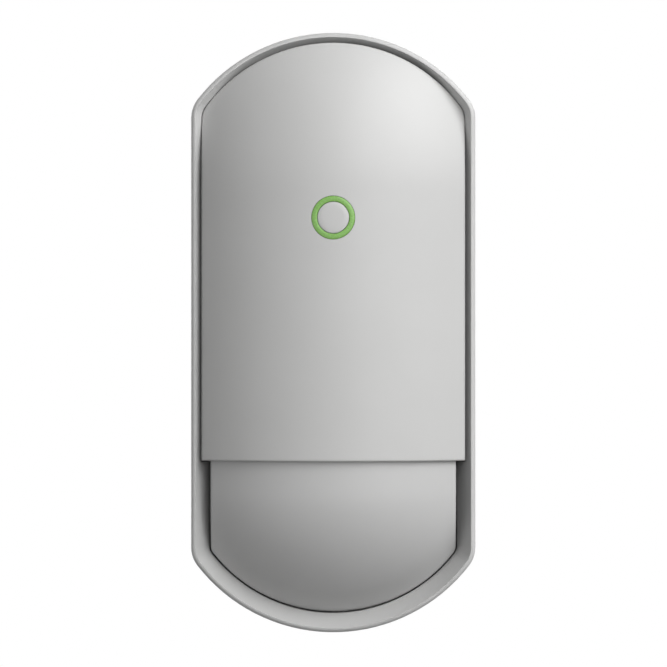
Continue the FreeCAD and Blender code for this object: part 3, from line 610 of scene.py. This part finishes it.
def make_lens_window():
    """Window's shell with the flange that holds it behind the cover's deck."""
    round_edge = 0.35
    wall = 1.3
    inset, foot = 4.1, 24.0
    flange_inset, flange_foot = 2.4, 21.1
    flange_rear, flange_front = 24.7, 25.9
    half_columns, low_rows, end_rows = 20, 8, 22
    across = [k / half_columns for k in range(-half_columns, half_columns + 1)]
    low, high = foot + round_edge, 34.0
    rows = steps(low, high, low_rows)[1:] + [high]
    shape = bmesh.new()
    outer = Face(shape, window_bulge, inset + round_edge, low, across, rows, end_rows)
    side = rounded_rim(outer, round_edge, flange_front)
    flange = outer.loop(flange_inset, flange_foot, depth=flange_front)
    flange_back = outer.loop(flange_inset, flange_foot, depth=flange_rear)
    inner = Face(shape, window_bulge.inside(wall), inset + wall, foot + wall, across, rows,
                 end_rows)
    mouth = inner.loop(inset + wall, foot + wall, depth=flange_rear)
    loops = [side, flange, flange_back, mouth, inner.edge()]
    for first, second in zip(loops, loops[1:]):
        join_loops(shape, first, second)
    finish_piece("window_shell", shape, "cover", "window_plastic", ["lens_window"])


def bend_front(shape, above):
    """Moves the points above one depth, drawn for the panel's crown, on to its bulge."""
    for v in shape.verts:
        depth = -v.co.y / mm
        if depth > above:
            v.co.y = -(depth + panel_bulge.at(v.co.x / mm, v.co.z / mm) - panel_bulge.depth) * mm


def make_light_guide():
    """Ring flush with the panel, its flange, bridge and stem, and the silver centre inside it."""
    segments, flush_above = 64, 44.0
    ring = bmesh.new()
    turned(ring, 0, ring_place, [
        (0, 18.3), (1.45, 18.3), (1.75, 18.6), (1.75, 41.0), (4.55, 41.0), (4.55, 42.48),
        (5.6, 42.48), (5.6, 43.48), (4.55, 43.48), (4.55, 44.84), (4.50, 44.95), (4.39, 45.0),
        (3.51, 45.0), (3.40, 44.95), (3.35, 44.84), (3.35, 42.2), (0, 42.2)], segments)
    bend_front(ring, flush_above)
    finish_piece("guide_ring", ring, "cover", "green_light_guide", ["light_ring"])
    centre = bmesh.new()
    turned(centre, 0, ring_place, [
        (0, 42.2), (3.3, 42.2), (3.3, 44.86), (3.25, 44.96), (3.14, 45.0), (2.1, 45.0), (1.0, 45.0),
        (0, 45.0)], segments)
    bend_front(centre, flush_above)
    finish_piece("guide_centre", centre, "cover", "panel_plastic", ["ring_insert"])


# Board: its front face, the fronts and the feet of what is plated on it, and the parts' places
board_front = 13.6
plated_depth = board_front + 0.03
sunk_depth = board_front - 0.02
terminal_xs = [-10.0 + 4.0 * k for k in range(6)]
resistor_zs = [6.0 - 2.2 * k for k in range(6)]
ceramic_xs = [-6.0 + 3.0 * k for k in range(5)]
chip_lead_zs = [-2.0 + 1.27 * (k - 3) for k in range(7)]
switch_xs = [12.96 + 2.54 * k for k in range(3)]
capacitor_places = [(-15.5, 4.0), (-15.5, -4.5)]

# Figures as strokes in a unit square
strokes = {
    "1": [(0.2, 0.75), (0.5, 1), (0.5, 0)],
    "2": [(0, 0.8), (0.25, 1), (0.75, 1), (1, 0.72), (0, 0), (1, 0)],
    "3": [(0, 1), (1, 1), (0.45, 0.6), (0.9, 0.4), (0.85, 0.1), (0.4, 0), (0, 0.12)],
    "4": [(0.72, 0), (0.72, 1), (0, 0.3), (1, 0.3)],
    "5": [(1, 1), (0.12, 1), (0.05, 0.56), (0.65, 0.6), (1, 0.32), (0.65, 0), (0, 0.08)],
    "6": [(0.8, 1), (0.15, 0.55), (0, 0.25), (0.3, 0), (0.75, 0.03), (0.98, 0.3), (0.7, 0.55),
          (0.1, 0.42)],
}
figure_width, figure_stroke = 0.55, 0.13


def make_board_tracks():
    """Copper lines that show through the green mask."""
    shape = bmesh.new()
    level = board_front - 0.01
    track_width, border_width, height = 0.45, 1.0, 0.035
    lines = [
        [(-10, 31.2), (-10, 28.0)],
        [(-6, 31.2), (-6, 27), (-8.5, 24.5), (-9.5, 24.5)],
        [(-2, 31.2), (-2, 28.5), (-4.5, 26), (-4.5, 12), (-8, 8.5), (-15.5, 8.5), (-15.5, 7.3)],
        [(2, 31.2), (2, 28.5), (5, 25.5), (5, 12.4), (6.9, 10.5), (6.9, 2.4)],
        [(6, 31.2), (6, 29), (8.5, 26.5), (8.5, 13), (12.96, 9.6), (12.96, 8.6)],
        [(10, 31.2), (10, 28), (13, 25), (13, 13), (15.5, 10.5), (15.5, 8.6)],
        [(16.2, 33), (14.6, 31.4), (14.6, 26), (16, 24.5), (16, 13.5), (18.04, 11.5), (18.04, 8.6)],
        [(2.2, 24), (3.4, 22.8), (3.4, 8.4), (0.9, 5.9), (0.9, 2.0)],
        [(-2.2, 24), (-3.2, 23), (-3.2, 8.25), (-5.0, 6.45)],
        [(7.2, 0.54), (9.4, 0.54), (11.4, -1.4), (13.2, 0.4), (13.2, 1.4)],
        [(7.2, -2), (10, -2), (13.4, -5.4)],
        [(7.2, -3.27), (9.2, -3.27), (12.4, -6.5)],
        [(7.2, -4.54), (9.6, -6.9), (9.6, -19.6), (4.6, -24.6)],
        [(7.2, -5.81), (8.2, -6.8), (8.2, -11), (6.4, -12.8)],
        [(-6, -15.2), (-6, -20), (-2.8, -23.2), (-2.8, -27.4)],
        [(0, -15.2), (0, -26.8)],
        [(3, -15.2), (3, -21), (1.8, -22.2), (1.8, -26.9)],
        [(-11.6, -14), (-7, -14)],
        [(-15, -8.8), (-15, -7.9)],
        [(-18.4, -15.5), (-21.5, -18.6), (-21.5, -31), (-18.2, -34.3), (-8, -34.3)],
        [(19.4, -9), (22.2, -11.8), (22.2, -30), (17.9, -34.3), (8, -34.3)],
    ]
    for z, lead_z in zip(resistor_zs, reversed(chip_lead_zs)):
        drop = abs(z - lead_z)
        lines.append([(-5.0, z), (0.1 - drop, z), (0.1, lead_z), (0.8, lead_z)])
    for line in lines:
        ribbon(shape, line, track_width, level)
    border = [(-24.4, -42.6), (24.4, -42.6), (24.4, 39.6), (-24.4, 39.6)]
    ribbon(shape, border, border_width, level, closed=True)
    thicken(shape, height)
    finish_piece("board_tracks", shape, "base", "board_laminate").data.materials[0] = track_green


def make_board_pads():
    """Tinned pads under the small parts, test points and rings round the through holes."""
    shape = bmesh.new()
    # Places, size as (x, z, depth) and rounding
    pads = [
        ([(x, z) for z in resistor_zs for x in (-6.95, -5.05)], (0.75, 1.0, 0.14), 0.04),
        ([(x, z) for x in ceramic_xs for z in (-15.15, -12.85)], (1.5, 0.75, 0.16), 0.04),
        ([(x, z) for z in chip_lead_zs for x in (0.75, 7.25)], (1.1, 0.6, 0.07), 0.03),
        ([(-17.3, -17.6), (-12.7, -17.6)], (1.4, 1.2, 0.12), 0.05),
        ([(-15, -8.7)], (5.6, 1.2, 0.12), 0.05),
    ]
    for places, size, soft in pads:
        for x, z in places:
            soft_block(shape, x, z, sunk_depth, size, soft)

    def ring(x, z, bore, reach, segments, flare=0.0):
        """Closed ring that lies in the board's face; its foot reaches out by flare."""
        turned(shape, x, z, [(bore, sunk_depth), (bore, plated_depth), (reach, plated_depth),
                             (reach + flare, sunk_depth), (bore, sunk_depth)], segments)

    test_points = [(x, -20.5) for x in (-22.6, -20.4, -18.2)]
    test_points += [(x, -22.5) for x in (12.0, 14.2, 20.4, 22.6)]
    radius = 0.62
    dot = [(0, sunk_depth), (radius, sunk_depth), (radius, plated_depth), (0, plated_depth)]
    for x, z in test_points:
        turned(shape, x, z, dot, 20)
    vias = [(-3.2, 18), (5, 18), (8.5, 19.5), (13, 19), (-21.5, -26), (22.2, -26), (9.6, -15),
            (-6, -18), (0, -19), (3, -18.5), (16, 19), (3.4, 16), (-12, 8.5), (10, 29), (-6, 29),
            (2, 29.6)]
    via_bore, via_reach, via_flare = 0.18, 0.4, 0.02
    for x, z in vias:
        ring(x, z, via_bore, via_reach, 16, via_flare)
    for x in (-20.5, 20.5):
        for z, bore, reach in ((15.0, 2.3, 3.2), (-38.0, 1.6, 2.3)):
            ring(x, z, bore, reach, 40)
    finish_piece("board_pads", shape, "base", "lead_wire")


def make_board_legend():
    """White print: outlines of the parts and the numbers of terminals and switches."""
    shape = bmesh.new()
    outline_width, sign_width, mark_width, height = 0.16, 0.18, 0.12, 0.02
    circle_points = 48

    def line(points, width, closed=False):
        ribbon(shape, points, width, plated_depth, closed)

    def circle(x, z, radius):
        turns = [math.tau * k / circle_points for k in range(circle_points)]
        line([on_circle(x, z, radius, turn) for turn in turns], outline_width, closed=True)

    def number(figure, x, z, high):
        wide = high * figure_width
        points = [(x + (a - 0.5) * wide, z + b * high) for a, b in strokes[figure]]
        line(points, high * figure_stroke)

    outlines = [
        (-17.7, -9.3, 12.05, 27.95), (-0.3, 8.3, -7.1, 3.1), (10.5, 20.5, 1.45, 8.55),
        (12.35, 19.65, -12.65, -5.35), (16.05, 22.95, 30.55, 37.45),
        (-13.45, 13.45, 31.05, 39.95), (-18.7, -11.3, -18.6, -7.8),
    ]
    for x0, x1, z0, z1 in outlines:
        line([(x0, z0), (x1, z0), (x1, z1), (x0, z1)], outline_width, closed=True)
    circle(0, 24, 2.5)
    circle(0, -34, 7.5)
    for x, z in capacitor_places:
        circle(x, z, 3.95)
        line([(x - 5.0, z + 2.6), (x - 4.0, z + 2.6)], sign_width)
        line([(x - 4.5, z + 2.1), (x - 4.5, z + 3.1)], sign_width)
    for z in resistor_zs:
        line([(-7.6, z - 0.75), (-4.4, z - 0.75)], mark_width)
    for x in ceramic_xs:
        line([(x - 1.0, -16.1), (x - 1.0, -11.9)], mark_width)
    disc(shape, -0.9, 3.6, 0.28, plated_depth, 16)
    for k, x in enumerate(terminal_xs):
        number(str(k + 1), x + 1.2, 28.6, 1.8)
    for k, x in enumerate(switch_xs):
        number(str(k + 1), x, -0.6, 1.4)
    thicken(shape, height)
    finish_piece("board_legend", shape, "base", "rotor_plastic").data.materials[0] = print_white


def make_end_caps():
    """Tinned ends of the chip resistors and ceramic capacitors."""
    shape = bmesh.new()
    # Places, size as (x, z, depth) and rounding
    caps = [
        ([(x, z) for z in resistor_zs for x in (-6.64, -5.36)], (0.36, 0.84, 0.53), 0.04),
        ([(x, z) for x in ceramic_xs for z in (-14.8, -13.2)], (1.34, 0.44, 0.93), 0.06),
    ]
    for places, size, soft in caps:
        for x, z in places:
            soft_block(shape, x, z, board_front - 0.01, size, soft)
    finish_piece("part_end_caps", shape, "base", "lead_wire")


def make_capacitors():
    """Aluminium cans with a crimped foot and a scored top, on black bases with cut corners."""
    cans, bases, marks = bmesh.new(), bmesh.new(), bmesh.new()
    foot, top = board_front + 0.5, board_front + 6.0
    profile = [(0, foot), (3.0, foot), (3.1, foot + 0.1), (3.1, foot + 0.9), (3.0, foot + 1.05),
               (2.86, foot + 1.2), (3.0, foot + 1.35), (3.1, foot + 1.5), (3.1, top - 0.45),
               (3.04, top - 0.2), (2.9, top - 0.06), (2.7, top), (2.5, top - 0.02),
               (2.42, top - 0.07), (1.2, top - 0.07), (0, top - 0.07)]
    half, cut, base_height = 3.3, 1.1, 0.62
    corners = [(-half, -half), (half, -half), (half, half - cut), (half - cut, half),
               (cut - half, half), (-half, half - cut)]
    mark_radius, mark_level, mark_height, mark_degrees = 2.3, top - 0.068, 0.01, range(125, 236, 5)
    score_reach, score_width, score_degrees = 1.9, 0.16, (30, 150, 270)
    score_level, score_height = top - 0.08, 0.03
    for x, z in capacitor_places:
        turned(cans, x, z, profile, 56)
        bases.faces.new([bases.verts.new(spot(x + a, board_front, z + b)) for a, b in corners])
        arc = [on_circle(x, z, mark_radius, math.radians(angle)) for angle in mark_degrees]
        marks.faces.new([marks.verts.new(spot(a, mark_level, b)) for a, b in arc])
        for angle in score_degrees:
            score = [(x, z), on_circle(x, z, score_reach, math.radians(angle))]
            thicken(cans, score_height, ribbon(cans, score, score_width, score_level))
    thicken(bases, base_height)
    thicken(marks, mark_height)
    corner_turn = 0.5
    round_edges(bases, [e for e in bases.edges if e.calc_face_angle(0) > corner_turn], 0.06)
    finish_piece("capacitor_cans", cans, "base", "capacitor_metal", ["filter_capacitors"])
    finish_piece("capacitor_bases", bases, "base", "black_plastic")
    finish_piece("capacitor_marks", marks, "base", "black_plastic")


def make_lens_sheet():
    """Arched lens sheet: smooth in front, with five by three cells of fine ring grooves behind."""
    half, front, arch, thickness = 21.0, 38.05, 7.85, 0.8
    top, high = -25.8, 20.0
    cells_across, cells_high = 5, 3
    last_cell = cells_across // 2
    pitch, groove, groove_fall = 1.0, 0.16, 5
    columns, rows = 240, 108
    radius = (half ** 2 + arch ** 2) / (2 * arch)
    turn = math.asin(half / radius)
    inner_turn = math.asin((half - thickness) / (radius - thickness))
    cell = 2 * radius * turn / cells_across
    cell_high = high / cells_high
    shape = bmesh.new()

    def groove_height(along, z):
        """Height of the saw-toothed rings round the middle of the cell that holds the place."""
        off = along - cell * max(-last_cell, min(last_cell, round(along / cell)))
        row = min(cells_high - 1, int((top - z) / cell_high))
        ring = math.hypot(off, z - (top - cell_high * (row + 0.5))) / pitch
        saw = ring - math.floor(ring)
        return groove * saw * min(1.0, (1 - saw) * groove_fall)

    def sheet(grooved):
        """Grid of the front or, with grooves, the back. Gives its boundary, once round."""
        made = []
        for i in range(columns + 1):
            share = 2 * i / columns - 1
            angle = share * (inner_turn if grooved else turn)
            column = []
            for j in range(rows + 1):
                z = top - high * j / rows
                r = radius - thickness + groove_height(angle * radius, z) if grooved else radius
                x, depth = r * math.sin(angle), front - radius + r * math.cos(angle)
                column.append(shape.verts.new(spot(x, depth, z)))
            made.append(column)
        add_grid(shape, made)
        return grid_edge(made)

    join_loops(shape, sheet(False), sheet(True))
    leg_x, leg_z, leg_rear = half - thickness / 2, top - high / 2, 24.7
    for side in (-1, 1):
        soft_block(shape, side * leg_x, leg_z, leg_rear, (thickness, high, 5.6), 0.12)
    finish_piece("lens_sheet", shape, "cover", "lens_plastic", ["fresnel_lens"], smooth_angle=25.0)


def make_deck_ribs():
    """Stiffening ribs behind the cover's deck."""
    shape = bmesh.new()
    level, width, rise, soft = 25.4, 0.9, 1.1, 0.15
    for x in (-9.0, 9.0):
        soft_block(shape, x, 19.5, level, (width, 61.0, rise), soft)
    for z, half in ((4.0, 18.0), (36.5, 17.2)):
        soft_block(shape, 0, z, level, (2 * half, width, rise), soft)
    finish_piece("deck_ribs", shape, "cover", "frame_plastic")


def make_chip_marks():
    """Pin-one dimple on the chip, and the moulded foot round the relay."""
    dimple = bmesh.new()
    profile = [(0, 15.33), (0.42, 15.33), (0.42, 15.345), (0.36, 15.355), (0, 15.36)]
    turned(dimple, 2.9, 1.6, profile, 24)
    finish_piece("chip_mark", dimple, "base", "chip_plastic").data.materials[0] = chip_mark_grey
    foot = bmesh.new()
    soft_block(foot, -13.5, 20.0, board_front, (7.7, 15.2, 1.1), 0.2)
    finish_piece("relay_foot", foot, "base", "relay_plastic")


# Backdrop, floor, lamps and camera

def white_for_view(tree):
    """1 for rays that see the backdrop, also in gloss or through glass, 0 for those that light."""
    path = tree.nodes.new("ShaderNodeLightPath")
    total = path.outputs["Is Camera Ray"]
    for name in ("Is Glossy Ray", "Is Transmission Ray"):
        total = computed(tree, "ADD", total, path.outputs[name], clamped=True)
    return total


def make_world():
    world = bpy.data.worlds.new("studio")
    world.use_nodes = True
    tree = world.node_tree
    background = tree.nodes["Background"]
    background.inputs["Color"].default_value = (1, 1, 1, 1)
    strength = ranged(tree, white_for_view(tree), world_fill, backdrop_white)
    tree.links.new(strength, background.inputs["Strength"])
    bpy.context.scene.world = world


def floor_material():
    """Diffuse tone and glow where the floor is seen, a weak bounce for the light on the object."""
    material = bpy.data.materials.new("pale_floor")
    material.use_nodes = True
    tree = material.node_tree
    tree.nodes.remove(tree.nodes["Principled BSDF"])
    seen = white_for_view(tree)
    place = tree.nodes.new("ShaderNodeTexCoord").outputs["Object"]
    away = wired(tree, "ShaderNodeVectorMath", {0: place}, operation="LENGTH").outputs["Value"]
    outward = ranged(tree, away, 0.0, 1.0, fade_start, floor_radius)
    tone = ranged(tree, seen, floor_bounce, ranged(tree, outward, floor_tone, 0.0))
    glow = computed(tree, "MULTIPLY", seen, ranged(tree, outward, floor_glow, backdrop_white))
    pale = wired(tree, "ShaderNodeBsdfDiffuse", {"Color": tone})
    light = wired(tree, "ShaderNodeEmission", {"Strength": glow})
    both = wired(tree, "ShaderNodeAddShader", {0: pale.outputs[0], 1: light.outputs[0]})
    tree.links.new(both.outputs[0], tree.nodes["Material Output"].inputs["Surface"])
    return material


def make_floor():
    """Pale floor under the object. It reads as white where it is lit and keeps the shadow."""
    mesh = bpy.data.meshes.new("floor")
    shape = bmesh.new()
    bmesh.ops.create_circle(shape, cap_ends=True, segments=floor_segments, radius=floor_radius)
    bmesh.ops.translate(shape, verts=shape.verts, vec=(0, 0, cad_low.z - floor_drop))
    shape.to_mesh(mesh)
    shape.free()
    mesh.materials.append(floor_material())
    floor = new_object("floor", mesh)


def make_lights():
    """Square softboxes that look at the object's middle."""
    for name, (azimuth, elevation, side, power) in lamps.items():
        light = bpy.data.lights.new(name, "AREA")
        light.size = side
        light.energy = power
        a = math.radians(azimuth)
        e = math.radians(elevation)
        way = Vector((math.sin(a) * math.cos(e), -math.cos(a) * math.cos(e), math.sin(e)))
        lamp = new_object(name, light)
        lamp.location = way * lamp_distance
        lamp.rotation_mode = "QUATERNION"
        lamp.rotation_quaternion = way.to_track_quat("Z", "Y")


def make_camera():
    """Straight view from the front, at the photograph's scale."""
    camera = bpy.data.cameras.new("photo_camera")
    camera.lens = lens_mm
    camera.sensor_width = sensor_mm
    camera.clip_start = clip_near
    camera.clip_end = clip_far
    frame_side = picture_side / pixels_per_metre
    distance = frame_side * lens_mm / sensor_mm
    rim_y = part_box("front_frame")[0].y
    x = (picture_side / 2 - object_pixel[0]) / pixels_per_metre
    z = (object_pixel[1] - picture_side / 2) / pixels_per_metre
    holder = new_object("photo_camera", camera)
    holder.location = (x, rim_y - distance, z)
    holder.rotation_euler = (math.pi / 2, 0, 0)
    bpy.context.scene.camera = holder


make_camera()
make_world()
make_floor()
make_lights()
dress_nodes()
make_front_panel()
make_lens_window()
make_light_guide()
make_board_tracks()
make_board_pads()
make_board_legend()
make_end_caps()
make_capacitors()
make_lens_sheet()
make_deck_ribs()
make_chip_marks()
bpy.context.scene.view_settings.view_transform = "Standard"
